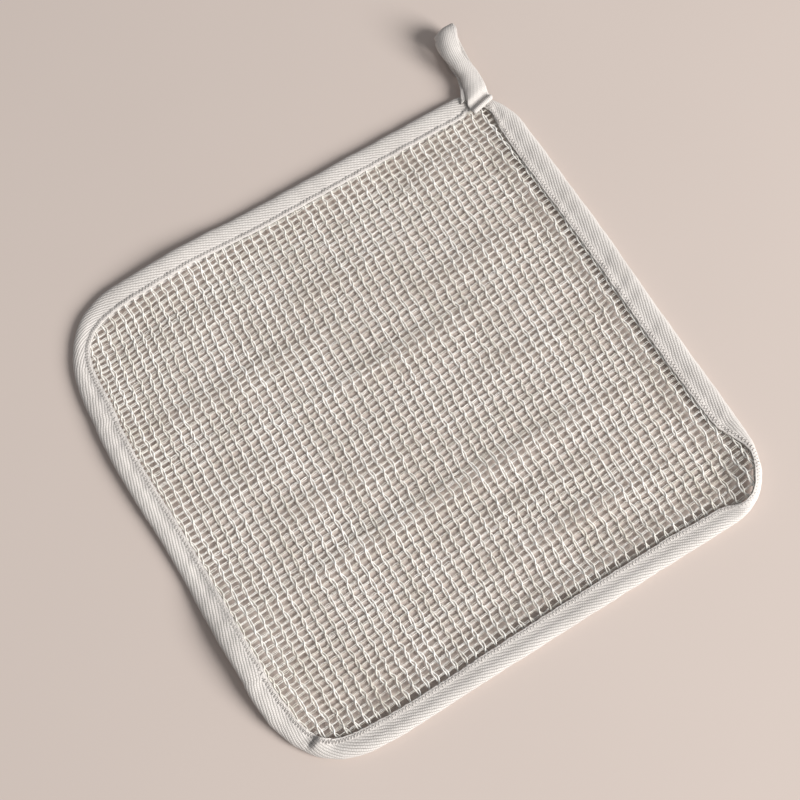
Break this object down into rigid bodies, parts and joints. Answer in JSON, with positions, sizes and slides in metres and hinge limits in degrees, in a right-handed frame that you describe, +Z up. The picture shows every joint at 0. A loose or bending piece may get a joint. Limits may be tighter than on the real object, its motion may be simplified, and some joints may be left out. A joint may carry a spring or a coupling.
{
  "type": "exfoliating towel",
  "caption": "Square open-mesh washcloth lying flat, with rounded corners, a folded twill tape sewn round its edge and a tape hanging loop on one corner.",
  "frame": {"origin": "centre of the whole footprint, the hanging loop included, on the surface the cloth lies on", "axes": "+X along the net's cross yarns towards the side with the loop's corner, +Y along its long yarns, the way the hanging loop points, +Z up"},
  "size_m": [0.2568, 0.2832, 0.015],
  "materials": {
    "net_yarn": "matte",
    "tape": "matte"
  },
  "bodies": {
    "root": {"mesh_panel": "net_yarn", "binding": "tape", "hanging_loop": "tape"}
  },
  "joints": []
}
